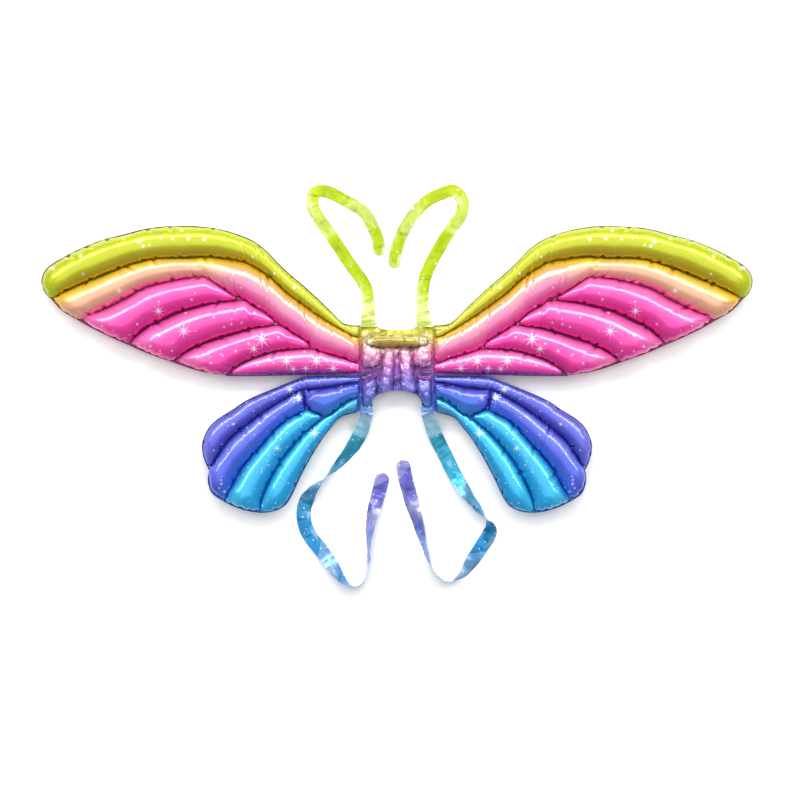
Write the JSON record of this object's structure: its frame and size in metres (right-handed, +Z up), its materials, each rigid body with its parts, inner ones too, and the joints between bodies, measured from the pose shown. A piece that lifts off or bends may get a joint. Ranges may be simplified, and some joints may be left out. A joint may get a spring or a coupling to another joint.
{
  "type": "inflatable fairy wings",
  "caption": "Inflatable butterfly fairy wings of shiny heat-sealed film: air-filled upper and lower wings either side of a small body, with flat film straps to tie them on.",
  "frame": {"origin": "on the table under the middle of the object's overall box", "axes": "+X across the wings, +Y up the wearer's back, +Z up off the table, out of the printed face"},
  "size_m": [0.9826, 0.5592, 0.0425],
  "materials": {
    "film_yellow": "glossy metallised film",
    "film_peach": "glossy metallised film",
    "film_pink": "glossy metallised film",
    "film_violet": "glossy metallised film",
    "film_sky": "glossy metallised film",
    "film_cyan": "glossy metallised film",
    "film_blue": "glossy metallised film",
    "film_khaki": "glossy metallised film",
    "film_lilac": "glossy metallised film",
    "film_purple": "glossy metallised film",
    "film_clear": "glossy metallised film"
  },
  "bodies": {
    "body": {"body_collar": "film_khaki", "body_lobe_left": "film_lilac", "body_lobe_right": "film_lilac", "body_upper_knot_left": "film_pink", "body_upper_knot_right": "film_pink", "body_lower_knot_left": "film_purple", "body_lower_knot_right": "film_purple", "body_seal": "film_lilac", "valve_film_front": "film_clear", "valve_film_back": "film_clear"},
    "upper_wing_left": {"upper_leading_left": "film_yellow", "upper_arm_left": "film_peach", "upper_feather_a_left": "film_pink", "upper_feather_b_left": "film_pink", "upper_feather_c_left": "film_pink", "upper_feather_d_left": "film_pink", "upper_seal_left": "film_pink"},
    "lower_wing_left": {"lower_lobe_a_left": "film_violet", "lower_lobe_b_left": "film_violet", "lower_lobe_c_left": "film_sky", "lower_lobe_d_left": "film_cyan", "lower_inner_cell_left": "film_blue", "lower_seal_left": "film_violet"},
    "upper_wing_right": {"upper_leading_right": "film_yellow", "upper_arm_right": "film_peach", "upper_feather_a_right": "film_pink", "upper_feather_b_right": "film_pink", "upper_feather_c_right": "film_pink", "upper_feather_d_right": "film_pink", "upper_seal_right": "film_pink"},
    "lower_wing_right": {"lower_lobe_a_right": "film_violet", "lower_lobe_b_right": "film_violet", "lower_lobe_c_right": "film_sky", "lower_lobe_d_right": "film_cyan", "lower_inner_cell_right": "film_blue", "lower_seal_right": "film_violet"},
    "upper_strap_left": {"upper_strap_left": "film_yellow"},
    "upper_strap_right": {"upper_strap_right": "film_yellow"},
    "lower_strap_left": {"lower_strap_left": "film_cyan"},
    "lower_strap_right": {"lower_strap_right": "film_cyan"}
  },
  "joints": [
    {"name": "upper_wing_left_fold", "type": "hinge", "parent": "body", "child": "upper_wing_left", "pos_m": [-0.05, 0.05162, 0.0213], "axis": [0, 1, 0], "range_deg": [0, 45]},
    {"name": "lower_wing_left_fold", "type": "hinge", "parent": "body", "child": "lower_wing_left", "pos_m": [-0.05, -0.00838, 0.0213], "axis": [0, 1, 0], "range_deg": [0, 45]},
    {"name": "upper_wing_right_fold", "type": "hinge", "parent": "body", "child": "upper_wing_right", "pos_m": [0.05, 0.05162, 0.0213], "axis": [0, -1, 0], "range_deg": [0, 45]},
    {"name": "lower_wing_right_fold", "type": "hinge", "parent": "body", "child": "lower_wing_right", "pos_m": [0.05, -0.00838, 0.0213], "axis": [0, -1, 0], "range_deg": [0, 45]},
    {"name": "upper_strap_left_lift", "type": "hinge", "parent": "body", "child": "upper_strap_left", "pos_m": [-0.039, 0.08157, 0.0213], "axis": [1, 0, 0], "range_deg": [0, 90]},
    {"name": "upper_strap_right_lift", "type": "hinge", "parent": "body", "child": "upper_strap_right", "pos_m": [0.038, 0.08157, 0.0213], "axis": [1, 0, 0], "range_deg": [0, 90]},
    {"name": "lower_strap_left_lift", "type": "hinge", "parent": "body", "child": "lower_strap_left", "pos_m": [-0.0416, -0.03703, 0.0213], "axis": [-1, 0, 0], "range_deg": [0, 90]},
    {"name": "lower_strap_right_lift", "type": "hinge", "parent": "body", "child": "lower_strap_right", "pos_m": [0.0416, -0.03703, 0.0213], "axis": [-1, 0, 0], "range_deg": [0, 90]}
  ]
}
